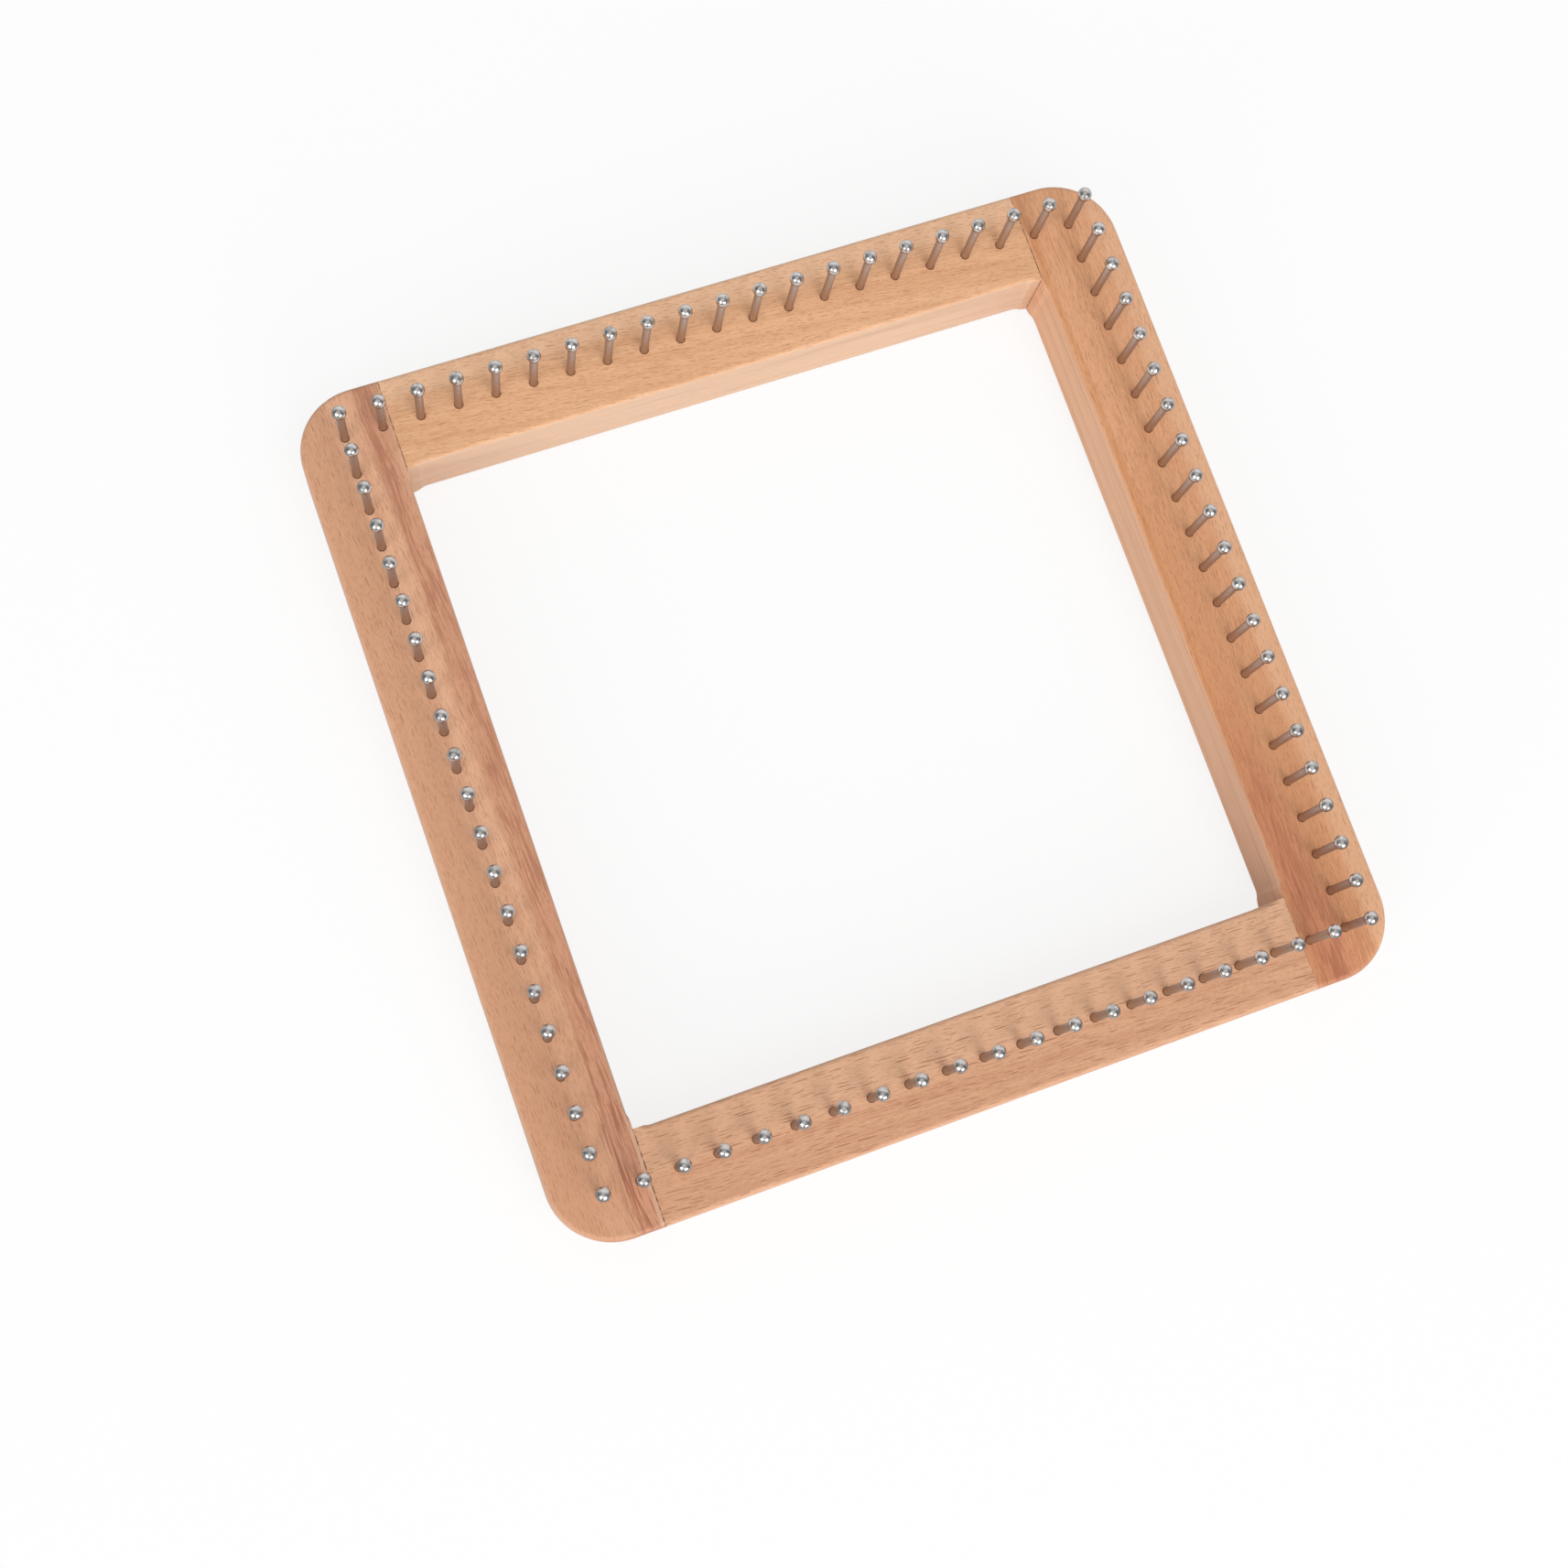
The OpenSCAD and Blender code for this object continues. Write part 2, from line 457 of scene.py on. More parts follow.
@dataclass(frozen=True)
class GlueLine:
    """Thin dark line where rail and stile are glued together, open in some places and tight in others.

    Lengths are in millimetres. The line's strength is given for the bar's low and its high end. Where
    the joint is tight, that share of the line is left. The slope lets the breaks differ with the height.
    The overrun is how far from the joint, inside the opening, the line starts.
    """

    low_end: float = 0.6
    high_end: float = 0.6
    tone: Tone = (72, 42, 28)
    edge: Fade = (0.17, 0.06)
    overrun: Fade = (0.14, 0.06)
    least_slant: float = 0.05
    slope: float = 1.3
    break_scale: float = 0.55
    break_detail: float = 3.0
    break_edge: Fade = (0.4, 0.56)
    tight: float = 0.25

    def lay(self, sheet: NodeSheet, layout: Layout, run: Run, place: Axes, facing: Axes) -> Socket:
        """Draws the line.

        Args:
            sheet: the finish's nodes.
            layout: the places on the loom.
            run: the bar's direction.
            place: the point's x, y and z.
            facing: x, y and z of the direction that the surface faces.

        Returns:
            How dark the joint is, from 0 to 1.
        """
        x, y, z = place
        off = sheet.math("SUBTRACT", sheet.math("ABSOLUTE", x), layout.half_opening)
        off = sheet.math("ABSOLUTE", off)
        # On a face that turns towards X, such as a rounded edge, the line keeps its width along the face
        square = sheet.math("MULTIPLY", facing[0], facing[0])
        slant = sheet.math("SQRT", sheet.math("SUBTRACT", 1.0, square, clamp=True))
        off = sheet.math("DIVIDE", off, sheet.math("MAXIMUM", slant, self.least_slant))
        line = sheet.fade(off, *self.edge)
        start, full = (layout.half_opening - overrun for overrun in self.overrun)
        at_corner = sheet.fade(sheet.math("ABSOLUTE", y), start, full)
        course = sheet.math("MULTIPLY_ADD", z, self.slope, y)
        broken = sheet.fade(sheet.ripple(course, self.break_scale, self.break_detail), *self.break_edge)
        opened = sheet.math("MULTIPLY_ADD", broken, 1.0 - self.tight, self.tight)
        along, _ = run.sort(place)
        towards_high = sheet.fade(along, -1.0, 1.0)
        level = sheet.math("MULTIPLY_ADD", towards_high, self.high_end - self.low_end, self.low_end)
        dark = sheet.math("MULTIPLY", opened, level)
        return sheet.math("MULTIPLY", sheet.math("MULTIPLY", line, at_corner), dark)


@dataclass(frozen=True)
class HoleRim:
    """Darker ring in the wood around every peg's hole.

    Lengths are in millimetres. The depths count from the pegs' side of the wood.
    """

    tone: Tone = (96, 62, 44)
    strength: float = 0.15
    radius: float = 1.0
    softness: float = 0.22
    depths: Fade = (4.0, 3.0)

    def lay(self, sheet: NodeSheet, layout: Layout, place: Axes) -> Socket:
        """Draws the ring.

        Args:
            sheet: the finish's nodes.
            layout: the places on the loom.
            place: the point's x, y and z.

        Returns:
            How far the ring covers the point, from 0 to 1.
        """
        x, y, z = place
        distances = []
        for first, second in ((x, y), (y, x)):
            step = sheet.math("ADD", first, layout.peg_line)
            step = sheet.math("PINGPONG", step, layout.peg_pitch / 2)
            past_row = sheet.math("SUBTRACT", sheet.math("ABSOLUTE", first), layout.peg_line)
            step = sheet.math("MAXIMUM", step, past_row)
            off = sheet.math("SUBTRACT", sheet.math("ABSOLUTE", second), layout.peg_line)
            distances.append(sheet.vector("LENGTH", sheet.join(step, off)))
        near = sheet.math("MINIMUM", *distances)
        start, full = (layout.wood_top - depth for depth in self.depths)
        rim = sheet.fade(near, self.radius + self.softness, self.radius)
        return sheet.math("MULTIPLY", rim, sheet.fade(z, start, full))


@dataclass(frozen=True)
class BeechFinish:
    """Sanded, unvarnished beech, with its rings, rays and pores running on through the solid.

    Lengths are in millimetres. Sizes go along, across and down through the wood. The lean is the angle
    from the bar to its grain, and the shift moves the pattern, so that no two bars have the same.
    """

    name: str
    run: Run
    figure: Figure
    flecks: RayFlecks
    pores: RayFlecks = RayFlecks(
        length=1.5, thickness=0.17, depth=40.0, spacing=(1.5, 0.42, 9.0), strength=0.42, tone=(166, 104, 70)
    )
    cut_face: CutFace = CutFace()
    glue_line: GlueLine = GlueLine()
    hole_rim: HoleRim = HoleRim()
    streaks: tuple[Streak, ...] = ()
    lean: float = 0.0
    shift: Triple = (0.0, 0.0, 0.0)
    wander: Cloud = Cloud((34.0, 12.0, 16.0), 2.0, reach=3.2)
    threads: Cloud = Cloud((6.0, 0.26, 0.5), 3.0, reach=2.4)
    strands: Cloud = Cloud((9.0, 0.5, 1.0), 3.0, reach=1.2)
    streak_sway: Cloud = Cloud((46.0, 5.0, 9.0), 3.0, reach=3.0)
    streak_patches: Cloud = Cloud((16.0, 2.6, 5.0), 2.0, reach=0.7)
    streak_fibres: Fade = (0.44, 0.62)
    flat_facing: Fade = (0.45, 0.97)
    end_facing: Fade = (0.35, 0.95)
    end_tone: Tone = (196, 146, 106)
    end_strength: float = 0.5
    smoothest: float = 0.46
    roughness_range: float = 0.14
    roughness_threads: Fade = (0.1, 0.9)
    gloss: float = 0.35
    thread_relief: float = 0.5
    fleck_relief: float = 0.35
    relief_strength: float = 0.35
    relief_depth: float = 0.12

    def make(self, layout: Layout) -> bpy.types.Material:
        """Builds the material.

        Args:
            layout: the places on the loom.

        Returns:
            The finished material.
        """
        material, sheet = fresh_material(self.name)
        coords = sheet.add("ShaderNodeTexCoord").outputs
        place = sheet.parts(sheet.vector("MULTIPLY", coords["Object"], TO_MM))
        facing = sheet.parts(coords["Normal"])
        grain = self._grain(sheet, coords["Object"])
        fibres = sheet.vector("ADD", grain, sheet.join(y=self.wander.push(sheet, grain)))
        threads = self.threads.lay(sheet, fibres)
        strands = self.strands.lay(sheet, fibres)
        pushes = (sheet.swing(threads, self.threads.reach), sheet.swing(strands, self.strands.reach))
        colour = self.figure.lay(sheet, fibres, pushes)
        colour = self._bands(sheet, layout, colour, grain, place, strands)
        flat = sheet.fade(sheet.math("ABSOLUTE", facing[2]), *self.flat_facing)
        side = sheet.math("MULTIPLY", sheet.math("SUBTRACT", 1.0, flat), self.cut_face.cover(sheet, strands))
        colour = sheet.mix(side, colour, self.cut_face.lay(sheet, fibres))
        endwise, _ = self.run.sort(facing)
        end = sheet.fade(sheet.math("ABSOLUTE", endwise), *self.end_facing)
        colour = sheet.tint(colour, end, self.end_strength, self.end_tone, "MULTIPLY")
        pores = sheet.math("MULTIPLY", self.pores.lay(sheet, fibres), flat)
        colour = sheet.tint(colour, pores, self.pores.strength, self.pores.tone)
        flecks = sheet.math("MULTIPLY", self.flecks.lay(sheet, fibres), flat)
        colour = sheet.tint(colour, flecks, self.flecks.strength, self.flecks.tone)
        gap = self.glue_line.lay(sheet, layout, self.run, place, facing)
        colour = sheet.mix(gap, colour, linear(self.glue_line.tone))
        rim = self.hole_rim.lay(sheet, layout, place)
        colour = sheet.tint(colour, rim, self.hole_rim.strength, self.hole_rim.tone)
        self._surface(sheet, colour, threads, flecks, gap)
        return material

    def _grain(self, sheet: NodeSheet, here: Socket) -> Socket:
        """Turns and shifts the wood's pattern on the bar.

        Args:
            sheet: the finish's nodes.
            here: the point, in metres.

        Returns:
            The point along, across and down through the wood.
        """
        turn = math.radians(self.run.value + self.lean)
        feeds = {"Vector": here, "Location": self.shift, "Rotation": (0.0, 0.0, turn), "Scale": TO_MM}
        return sheet.add("ShaderNodeMapping", feeds).outputs["Vector"]

    def _bands(
        self, sheet: NodeSheet, layout: Layout, colour: Socket, grain: Socket, place: Axes, strands: Socket
    ) -> Socket:
        """Lays the bar's own streaks over its ground colour.

        Args:
            sheet: the finish's nodes.
            layout: the places on the loom.
            colour: the ground colour.
            grain: the point along, across and down through the wood.
            place: the point's x, y and z.
            strands: pattern of the coarser fibres.

        Returns:
            The colour with the streaks.
        """
        along, across = self.run.sort(place)
        inset = sheet.math("SUBTRACT", layout.half_side, sheet.math("ABSOLUTE", across))
        inset = sheet.math("ADD", inset, self.streak_sway.push(sheet, grain))
        fibres = sheet.math("ADD", strands, self.streak_patches.push(sheet, grain))
        fibres = sheet.fade(fibres, *self.streak_fibres)
        for streak in self.streaks:
            cover = streak.lay(sheet, inset, along, fibres)
            colour = sheet.mix(cover, colour, linear(streak.tone))
        return colour

    def _surface(
        self, sheet: NodeSheet, colour: Socket, threads: Socket, flecks: Socket, gap: Socket
    ) -> None:
        """Gives the wood its sheen and its fine relief.

        Args:
            sheet: the finish's nodes.
            colour: the finished colour.
            threads: pattern of the finest fibres.
            flecks: 1 where a fleck covers the point.
            gap: 1 in the open part of a glue line.
        """
        raised = sheet.math("MULTIPLY", threads, self.thread_relief)
        relief = sheet.math("SUBTRACT", raised, sheet.math("MULTIPLY", flecks, self.fleck_relief))
        relief = sheet.math("SUBTRACT", relief, gap)
        rough = sheet.fade(threads, *self.roughness_threads)
        feeds = {
            "Base Color": colour,
            "Roughness": sheet.math("MULTIPLY_ADD", rough, self.roughness_range, self.smoothest),
            "Specular IOR Level": self.gloss,
        }
        sheet.surface(feeds, relief, self.relief_strength, self.relief_depth)


@dataclass(frozen=True)
class SteelFinish:
    """Steel of the pegs: a polished, slightly dented ball over a drawn, duller shank, whose warm tone is
    steel with a painted reflection of the wood.

    Lengths are in millimetres. The head, which is the ball and its collar, counts from the peg's top.
    """

    name: str = "peg_steel_bright"
    head_height: float = 3.5
    head_edge: float = 0.1
    tone: Tone = (212, 209, 207)
    dull_tone: Tone = (112, 108, 106)
    # The shank's two tones are steel with a painted reflection of the wood, browner at the foot
    foot_steel_and_reflection: Tone = (203, 180, 160)
    neck_steel_and_reflection: Tone = (208, 196, 190)
    edge_tint: tuple[float, float, float, float] = (0.45, 0.42, 0.4, 1.0)
    dents: Cloud = Cloud((1.2, 1.2, 1.2), 1.0)
    specks: Cloud = Cloud((0.42, 0.42, 0.42), 1.0)
    grit: Cloud = Cloud((0.22, 0.22, 0.22), 2.0)
    drawn: Cloud = Cloud((0.12, 0.12, 3.0), 2.0)
    smear_edge: Fade = (0.56, 0.64)
    speck_edge: Fade = (0.6, 0.68)
    smear_strength: float = 0.4
    speck_strength: float = 0.5
    ball_roughness: float = 0.22
    smear_roughness: float = 0.12
    shank_roughness: float = 0.4
    drawn_roughness: float = 0.2
    grit_relief: float = 0.12
    drawn_relief: float = 0.1
    relief_strength: float = 0.6
    relief_depth: float = 0.2

    def make(self, layout: Layout) -> bpy.types.Material:
        """Builds the material.

        Args:
            layout: the places on the loom.

        Returns:
            The finished material.
        """
        material, sheet = fresh_material(self.name)
        here = sheet.add("ShaderNodeTexCoord").outputs["Object"]
        place = sheet.vector("MULTIPLY", here, TO_MM)
        _, _, height = sheet.parts(place)
        head_from = layout.peg_top - self.head_height
        ball = sheet.fade(height, head_from - self.head_edge, head_from + self.head_edge)
        # Share of the way up the shank, over which the painted reflection of the wood fades
        wood_reflection_fade = sheet.fade(height, layout.wood_top, head_from)
        dents = self.dents.lay(sheet, place)
        drawn = self.drawn.lay(sheet, place)
        smear = sheet.fade(dents, *self.smear_edge)
        specks = sheet.fade(self.specks.lay(sheet, place), *self.speck_edge)
        on_ball = sheet.math("MULTIPLY_ADD", smear, self.smear_roughness, self.ball_roughness)
        on_shank = sheet.math("MULTIPLY_ADD", drawn, self.drawn_roughness, self.shank_roughness)
        step = sheet.math("MULTIPLY", ball, sheet.math("SUBTRACT", on_ball, on_shank))
        relief = sheet.math("MULTIPLY_ADD", self.grit.lay(sheet, place), self.grit_relief, dents)
        relief = sheet.math("MULTIPLY_ADD", drawn, self.drawn_relief, relief)
        feeds = {
            "Base Color": self._colour(sheet, wood_reflection_fade, ball, smear, specks),
            "Metallic": 1.0,
            "Specular Tint": self.edge_tint,
            "Roughness": sheet.math("ADD", on_shank, step),
        }
        sheet.surface(feeds, relief, self.relief_strength, self.relief_depth)
        return material

    def _colour(self, sheet: NodeSheet, wood_reflection_fade: Socket, ball: Socket, smear: Socket, specks: Socket) -> Socket:
        """Colours the shank with a painted reflection of the wood that fades up its height, and the ball
        with its marks.

        Args:
            sheet: the finish's nodes.
            wood_reflection_fade: how far up the shank the point is, from 0 to 1.
            ball: 1 on the ball and 0 on the shank.
            smear: 1 on the ball's broad dull marks.
            specks: 1 on its small ones.

        Returns:
            The colour.
        """
        # Painted reflection of the wood on the shank, browner at the foot and fading towards the head
        shank = sheet.mix(wood_reflection_fade, linear(self.foot_steel_and_reflection), linear(self.neck_steel_and_reflection))
        base = sheet.mix(ball, shank, linear(self.tone))
        broad = sheet.math("MULTIPLY", smear, self.smear_strength)
        small = sheet.math("MULTIPLY", specks, self.speck_strength)
        marks = sheet.math("MULTIPLY", sheet.math("MAXIMUM", broad, small), ball)
        return sheet.mix(marks, base, linear(self.dull_tone))


@dataclass
class WoodenFrame:
    """The four bars and the eight dowels of the corner joints."""

    layout: Layout
    stile_flecks: RayFlecks = RayFlecks(
        length=2.6, thickness=0.2, depth=40.0, spacing=(3.2, 0.75, 9.0), strength=0.5, tone=(158, 96, 66)
    )
    top_flecks: RayFlecks = RayFlecks(
        length=2.4, thickness=0.2, depth=40.0, spacing=(2.8, 0.7, 9.0), strength=0.5, tone=(172, 108, 68)
    )
    bottom_flecks: RayFlecks = RayFlecks(
        length=4.4, thickness=0.23, depth=40.0, spacing=(4.6, 0.72, 9.0), strength=0.68, tone=(156, 94, 62)
    )
    dowel_flecks: RayFlecks = RayFlecks(length=1.6, thickness=0.12, strength=0.3)

    def left_stile(self) -> BeechFinish:
        """Gives the left stile its board.

        Returns:
            The finish.
        """
        bands = (
            # Painted shade, darker towards the low end; paler along the outer edge
            Streak(8.0, 30.0, (204, 148, 114), 0.6, start=30.0, end=-100.0),
            Streak(4.0, 5.5, (216, 160, 124), 0.7, softness=5.0),
            # Reddish band beside the opening, with its dark fibres
            Streak(19.2, 2.9, (214, 152, 121), 0.7, softness=2.6, drift=-0.004),
            Streak(18.9, 2.7, (168, 104, 78), 0.5, softness=2.4, fibre=1.0),
            Streak(18.6, 3.4, (160, 94, 70), 0.5, start=-40.0, end=-85.0, softness=3.0, fibre=1.0),
            Streak(16.6, 0.3, (168, 106, 80), 0.5, start=-30.0, end=-70.0, softness=0.5, drift=-0.004),
            # Pale lines at the opening's edge, near both ends
            Streak(21.6, 0.5, (230, 188, 157), 0.65, start=-40.0, end=-70.0, softness=0.5),
            Streak(21.6, 1.1, (230, 180, 145), 0.55, start=50.0, end=80.0, softness=1.4),
        )
        return BeechFinish(
            name="beech_left_stile",
            run=Run.ALONG_Y,
            figure=Figure(pale=(247, 196, 160), deep=(227, 171, 136)),
            flecks=self.stile_flecks,
            glue_line=GlueLine(low_end=0.9, high_end=0.75),
            streaks=bands,
            lean=-3.0,
            shift=(13.0, 7.0, 0.0),
        )

    def right_stile(self) -> BeechFinish:
        """Gives the right stile its board.

        Returns:
            The finish.
        """
        heartwood = {"drift": 0.06, "softness": 5.0}
        bands = (
            # More orange towards the low end and beside the opening, paler along the outer edge
            Streak(8.0, 30.0, (220, 154, 107), 0.6, start=80.0, end=-110.0),
            Streak(19.5, 4.0, (216, 148, 102), 0.45, start=50.0, end=0.0, softness=3.0),
            Streak(1.0, 4.5, (242, 190, 152), 0.7, softness=4.0),
            # Orange line at the opening's edge
            Streak(20.7, 0.9, (212, 142, 90), 0.52, start=-62.0, end=-30.0, softness=1.0, fibre=0.3),
            # Heartwood at the low end, with its dark fibres
            Streak(21.4, 4.6, (216, 146, 110), 0.8, start=-15.0, end=-75.0, **heartwood),
            Streak(21.4, 4.5, (164, 94, 68), 0.36, start=-25.0, end=-75.0, fibre=1.0, **heartwood),
            Streak(
                21.4, 2.6, (170, 98, 68), 0.42, start=-20.0, end=-70.0, drift=0.03, softness=3.0, fibre=0.5
            ),
            Streak(12.5, 7.0, (170, 104, 76), 0.27, start=-70.0, end=-96.0, softness=5.0, fibre=1.0),
        )
        return BeechFinish(
            name="beech_right_stile",
            run=Run.ALONG_Y,
            figure=Figure(pale=(243, 184, 141), deep=(221, 158, 115), pith=(-14.0, -64.0)),
            flecks=self.stile_flecks,
            cut_face=CutFace(tone=(229, 183, 149)),
            glue_line=GlueLine(low_end=0.3, high_end=0.8),
            streaks=bands,
            lean=2.5,
            shift=(151.0, 40.0, 0.0),
        )

    def top_rail(self) -> BeechFinish:
        """Gives the top rail its board, which is paler along the outer edge.

        Returns:
            The finish.
        """
        return BeechFinish(
            name="beech_top_rail",
            run=Run.ALONG_X,
            figure=Figure(pale=(246, 193, 150), deep=(228, 172, 129), pith=(20.0, -60.0)),
            flecks=self.top_flecks,
            cut_face=CutFace(tone=(221, 188, 161)),
            glue_line=GlueLine(low_end=0.75, high_end=0.8),
            streaks=(Streak(1.0, 5.0, (252, 206, 169), 0.7, softness=4.0),),
            lean=7.0,
            shift=(71.0, 93.0, 0.0),
        )

    def bottom_rail(self) -> BeechFinish:
        """Gives the bottom rail its board.

        Returns:
            The finish.
        """
        bands = (
            # Painted light beside the opening, paler where the pegs' shadows fall; darker towards the left
            # end
            Streak(18.0, 7.0, (245, 196, 159), 0.65, softness=5.0),
            Streak(11.0, 30.0, (210, 156, 122), 0.35, start=-30.0, end=-90.0),
        )
        return BeechFinish(
            name="beech_bottom_rail",
            run=Run.ALONG_X,
            figure=Figure(pale=(230, 178, 142), deep=(212, 157, 122), pith=(-4.0, -80.0)),
            flecks=self.bottom_flecks,
            glue_line=GlueLine(low_end=0.9, high_end=0.3),
            streaks=bands,
            lean=3.0,
            shift=(219.0, -57.0, 0.0),
        )

    def dowel(self) -> BeechFinish:
        """Gives the dowels their turned beech, without a glue line.

        Returns:
            The finish.
        """
        return BeechFinish(
            name="beech_dowel",
            run=Run.ALONG_X,
            figure=Figure(pale=(228, 190, 150), deep=(206, 160, 120), ring_gap=1.6),
            flecks=self.dowel_flecks,
            glue_line=GlueLine(low_end=0.0, high_end=0.0),
        )

    def dress(self, nodes: dict[str, bpy.types.Object]) -> None:
        """Gives the bars and dowels their beech.

        Args:
            nodes: the loom's solids by name.
        """
        bars = {
            "left_stile": self.left_stile(),
            "right_stile": self.right_stile(),
            "top_rail": self.top_rail(),
            "bottom_rail": self.bottom_rail(),
        }
        for name, finish in bars.items():
            coat(nodes[name], finish.make(self.layout))
            LOG.info("%s: %s", name, finish.name)
        turned = self.dowel()
        beech = turned.make(self.layout)
        for name in sorted(n for n in nodes if n.endswith("_dowel")):
            coat(nodes[name], beech)
            LOG.info("%s: %s", name, turned.name)


@dataclass
class PegRows:
    """The eighty ball-headed pegs."""

    layout: Layout
    finish: SteelFinish = SteelFinish()

    def dress(self, nodes: dict[str, bpy.types.Object]) -> None:
        """Gives the pegs their steel.

        Args:
            nodes: the loom's solids by name.
        """
        steel = self.finish.make(self.layout)
        for name in sorted(n for n in nodes if n.endswith(("_peg", "_pegs"))):
            coat(nodes[name], steel)
            LOG.info("%s: %s", name, self.finish.name)


def coat(piece: bpy.types.Object, material: bpy.types.Material) -> None:
    """Puts one finish on all of a piece's material slots.

    Args:
        piece: the solid.
        material: its finish.
    """
    if not piece.material_slots:
        piece.data.materials.append(material)
    for slot in piece.material_slots:
        slot.material = material


@dataclass(frozen=True)
class SoftLight:
    """One square softbox aimed at the loom.

    Lengths are in metres. The level is how bright it makes a white face, and the steel shows it only
    where it is mirrored.
    """

    name: str
    toward: Triple
    distance: float
    size: float
    level: float
    mirrored: bool = True

    def place(self, aim: Vector) -> None:
        """Hangs the softbox.

        Args:
            aim: the point that it lights.
        """
        data = bpy.data.lights.new(self.name, "AREA")
        data.shape = "SQUARE"
        data.size = self.size
        # Power at which a white face at this distance looks about as bright as the level
        data.energy = self.level * math.pi * self.distance**2 * math.pi
        lamp = bpy.data.objects.new(self.name, data)
        lamp.visible_glossy = self.mirrored
        bpy.context.scene.collection.objects.link(lamp)
        back = Vector(self.toward).normalized()
        lamp.location = aim + back * self.distance
        lamp.rotation_mode = "QUATERNION"
        lamp.rotation_quaternion = back.to_track_quat("Z", "Y")


@dataclass
class Studio:
    """Plain white floor, pale surroundings and soft lights.

    Lengths are in metres. What is looked at is white, and what falls on a surface as light is softer. The
    steel shows it dimmer by the dark drop towards the dark side, and by the ceiling drop around the
    ceiling's spot. The floor shows a share of the shadow near the loom and none far from it, so that it
    has no visible end.
    """

    layout: Layout
    sky: float = 0.52
    ceiling_drop: float = 0.28
    ceiling_spot: Triple = (-0.2, -0.18, 0.96)
    ceiling_edge: Fade = (0.76, 0.94)
    floor_half: float = 6.0
    floor_gap: float = 0.02 * MM
    floor_grey: float = 0.86
    dark_side: Triple = (-0.5, -0.86, 0.0)
    dark_edge: Fade = (-0.85, 0.0)
    dark_drop: float = 0.82
    paper_edge: Fade = (0.1, 0.2)
    shadow_share: float = 0.18
    shadow_edge: Fade = (1.2, 0.4)
    lights: tuple[SoftLight, ...] = (
        SoftLight("key_softbox", (0.14, -0.4, 0.9), 3.0, 1.4, 0.2, mirrored=False),
        SoftLight("front_softbox", (0.083, -0.929, 0.361), 3.0, 1.9, 0.4),
        SoftLight("side_softbox", (-0.791, -0.484, 0.394), 3.0, 1.9, 0.35),
    )

    def build(self) -> None:
        """Sets up everything around the loom."""
        self._world()
        self._floor()
        for light in self.lights:
            light.place(Vector((0.0, 0.0, self.layout.wood_top * MM)))
            LOG.info("%s: level %.2f", light.name, light.level)

    def _background_rays(self, sheet: NodeSheet) -> Socket:
        """Picks out the rays that look at the background.

        Args:
            sheet: the nodes of the world or of the floor.

        Returns:
            1 for a straight, mirrored or refracted look and 0 for light that falls on a surface.
        """
        rays = sheet.add("ShaderNodeLightPath").outputs
        seen = sheet.math("MAXIMUM", rays["Is Camera Ray"], rays["Is Glossy Ray"])
        return sheet.math("MAXIMUM", seen, rays["Is Transmission Ray"])

    def _dimness(self, sheet: NodeSheet, toward: Socket) -> Socket:
        """Share of the light that the steel misses in a direction, which is a vector of length 1."""
        dot = sheet.vector("DOT_PRODUCT", toward, tuple(Vector(self.dark_side).normalized()))
        return sheet.math("MULTIPLY", sheet.fade(dot, *self.dark_edge), self.dark_drop)

    def _world(self) -> None:
        """Makes the surroundings: white to look at, dimmer in the steel, softer as a light."""
        world = bpy.data.worlds.new("studio")
        world.use_nodes = True
        sheet = NodeSheet(world.node_tree)
        toward = sheet.add("ShaderNodeTexCoord").outputs["Generated"]
        overhead = sheet.vector("DOT_PRODUCT", toward, tuple(Vector(self.ceiling_spot).normalized()))
        ceiling = sheet.fade(overhead, *self.ceiling_edge)
        side = sheet.math("MULTIPLY", self._dimness(sheet, toward), sheet.math("SUBTRACT", 1.0, ceiling))
        above = sheet.math("MULTIPLY", ceiling, self.ceiling_drop)
        mirrored = sheet.add("ShaderNodeLightPath").outputs["Is Glossy Ray"]
        dim = sheet.math("MULTIPLY", sheet.math("ADD", side, above), mirrored)
        seen = self._background_rays(sheet)
        lit = sheet.math("MULTIPLY", sheet.math("SUBTRACT", 1.0, seen), self.sky)
        looks = sheet.math("MULTIPLY", sheet.math("SUBTRACT", 1.0, dim), seen)
        strength = sheet.math("ADD", looks, lit)
        light = sheet.add("ShaderNodeBackground", {"Color": WHITE, "Strength": strength})
        sheet.add("ShaderNodeOutputWorld", {"Surface": light.outputs[0]})
        bpy.context.scene.world = world

    def _floor(self) -> None:
        """Lays the floor just under the loom."""
        grid = bmesh.new()
        bmesh.ops.create_grid(grid, x_segments=1, y_segments=1, size=self.floor_half)
        bmesh.ops.translate(grid, verts=grid.verts, vec=(0.0, 0.0, -self.floor_gap))
        mesh = bpy.data.meshes.new("floor")
        grid.to_mesh(mesh)
        grid.free()
        floor = bpy.data.objects.new("floor", mesh)
        bpy.context.scene.collection.objects.link(floor)
        floor.data.materials.append(self._paper())

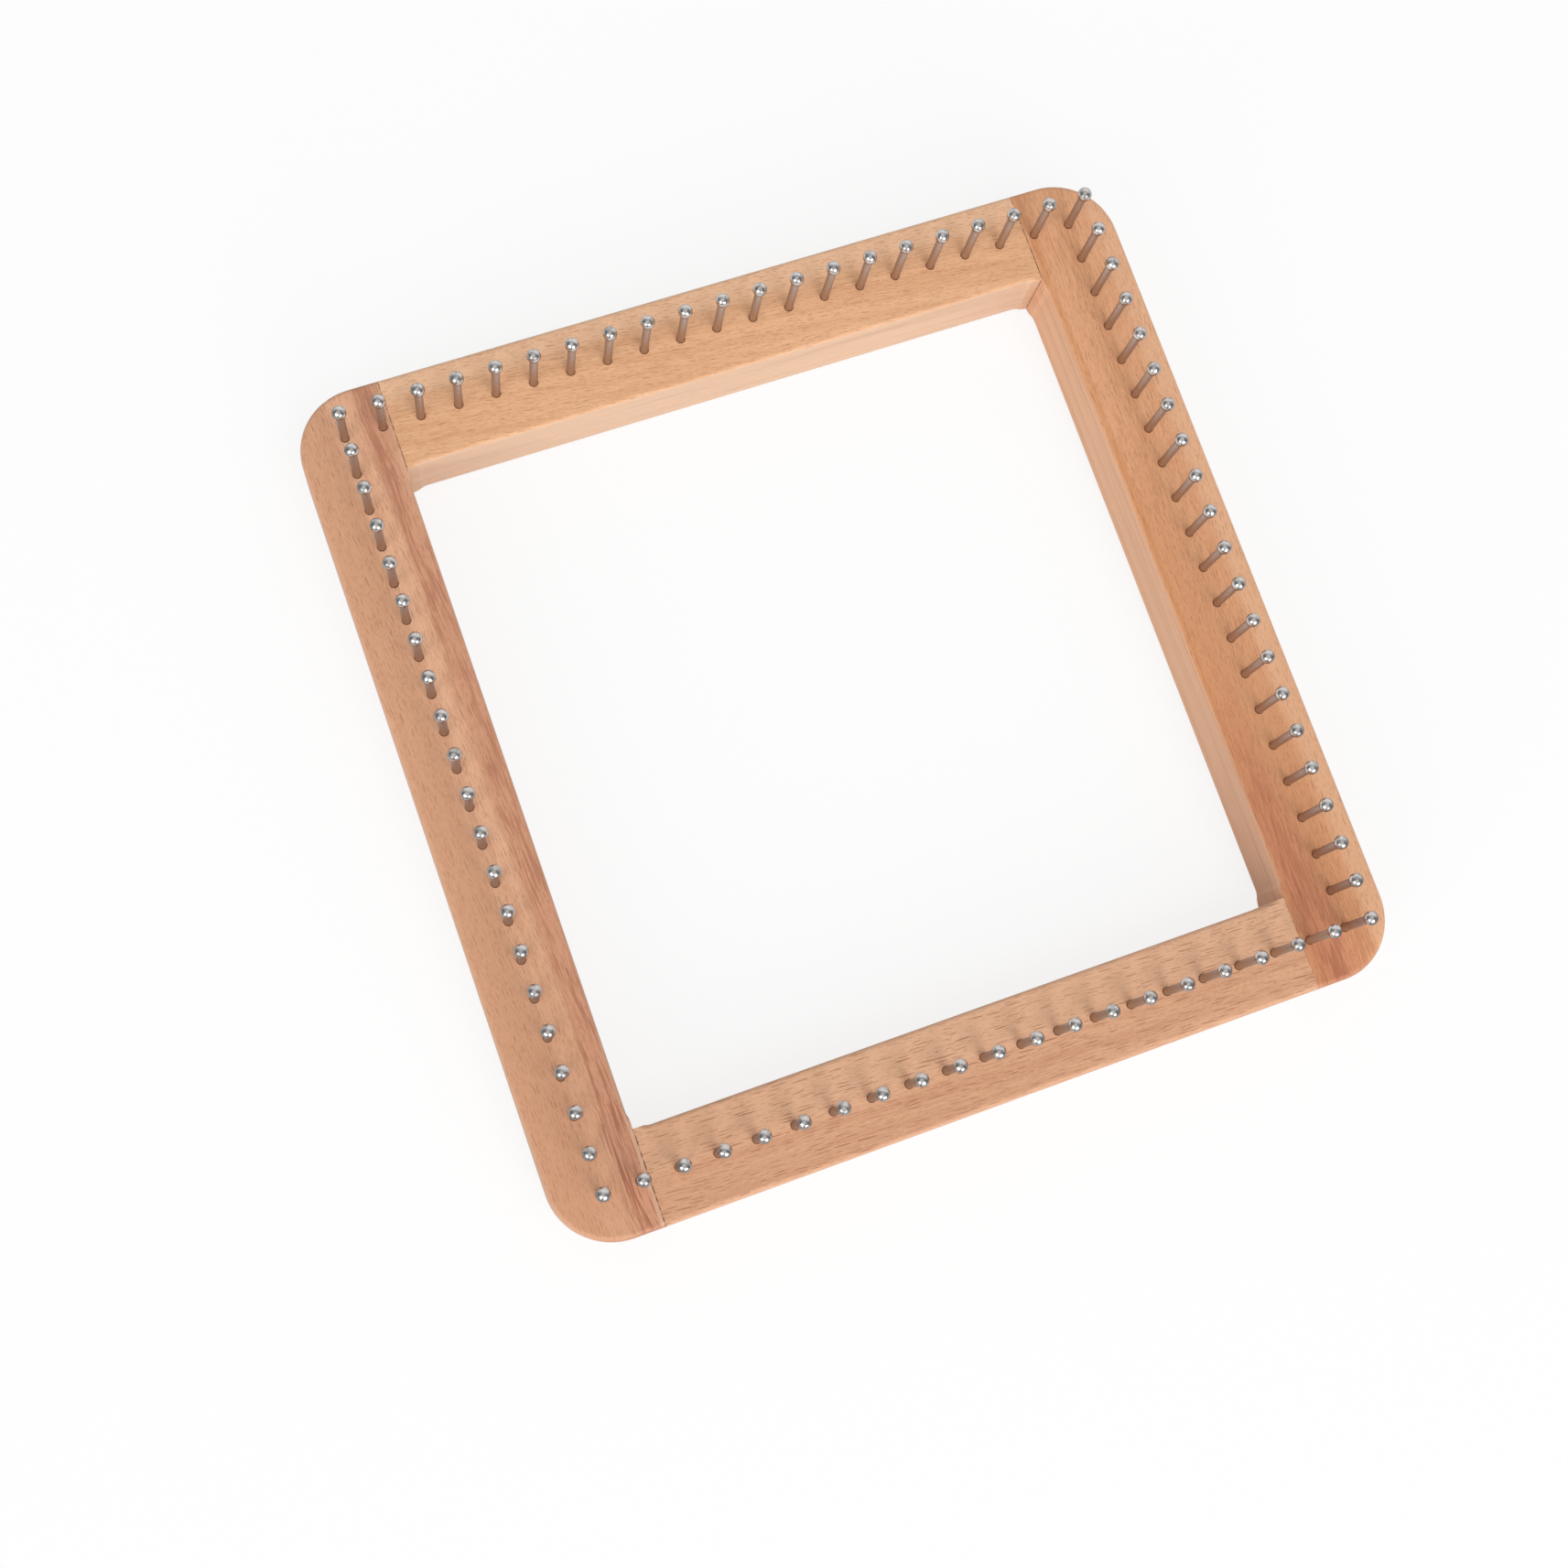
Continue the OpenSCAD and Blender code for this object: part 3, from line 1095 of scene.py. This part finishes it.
    def _paper(self) -> bpy.types.Material:
        """Builds the floor's white, which keeps a light shadow.

        Returns:
            The finished material.
        """
        material, sheet = fresh_material("floor_white")
        lit = sheet.add("ShaderNodeBsdfDiffuse", {"Color": (self.floor_grey,) * 3 + (1.0,)})
        shaded = sheet.add("ShaderNodeBsdfDiffuse", {"Color": WHITE})
        place = sheet.add("ShaderNodeTexCoord").outputs["Object"]
        distance = sheet.vector("LENGTH", place)
        away = sheet.fade(distance, *self.paper_edge)
        dim = sheet.math("MULTIPLY", self._dimness(sheet, sheet.vector("NORMALIZE", place)), away)
        mirrored = sheet.add("ShaderNodeLightPath").outputs["Is Glossy Ray"]
        white = sheet.math("SUBTRACT", 1.0, sheet.math("MULTIPLY", dim, mirrored))
        glow = sheet.add("ShaderNodeEmission", {"Color": WHITE, "Strength": white})
        keeps = sheet.math("MULTIPLY", sheet.fade(distance, *self.shadow_edge), self.shadow_share)
        looks = sheet.add("ShaderNodeMixShader", {0: keeps, 1: glow.outputs[0], 2: shaded.outputs[0]})
        seen = self._background_rays(sheet)
        mixed = sheet.add("ShaderNodeMixShader", {0: seen, 1: lit.outputs[0], 2: looks.outputs[0]})
        sheet.add("ShaderNodeOutputMaterial", {"Surface": mixed.outputs[0]})
        return material


@dataclass(frozen=True)
class ViewPoint:
    """The camera, at the place from which the picture was taken.

    The place is in metres, the lens and the sensor in millimetres. Right and up are the directions of the
    picture's sides.
    """

    place: Triple = (-0.1049, -0.08803, 0.50774)
    right: Triple = (0.93563, -0.33508, 0.11102)
    up: Triple = (0.31133, 0.93154, 0.18789)
    lens: float = 51.577
    sensor: float = 36.0
    nearest: float = 0.01
    farthest: float = 50.0

    def build(self) -> None:
        """Makes the camera and gives it to the scene."""
        data = bpy.data.cameras.new("camera")
        data.sensor_width = self.sensor
        data.lens = self.lens
        data.clip_start = self.nearest
        data.clip_end = self.farthest
        camera = bpy.data.objects.new("camera", data)
        bpy.context.scene.collection.objects.link(camera)
        right, up = Vector(self.right), Vector(self.up)
        turn = Matrix((right, up, right.cross(up))).transposed()
        camera.matrix_world = Matrix.Translation(self.place) @ turn.to_4x4()
        bpy.context.scene.camera = camera


def main() -> None:
    """Loads the frame, dresses every piece and sets up the picture."""
    logging.basicConfig(level=logging.INFO, format="%(message)s")
    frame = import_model()
    layout = Layout.measured()
    LOG.info("layout: %s", layout)
    WoodenFrame(layout).dress(frame["nodes"])
    PegRows(layout).dress(frame["nodes"])
    Studio(layout).build()
    ViewPoint().build()
    bpy.context.scene.view_settings.view_transform = "Standard"
    LOG.info("scene ready")


if __name__ == "__main__":
    main()
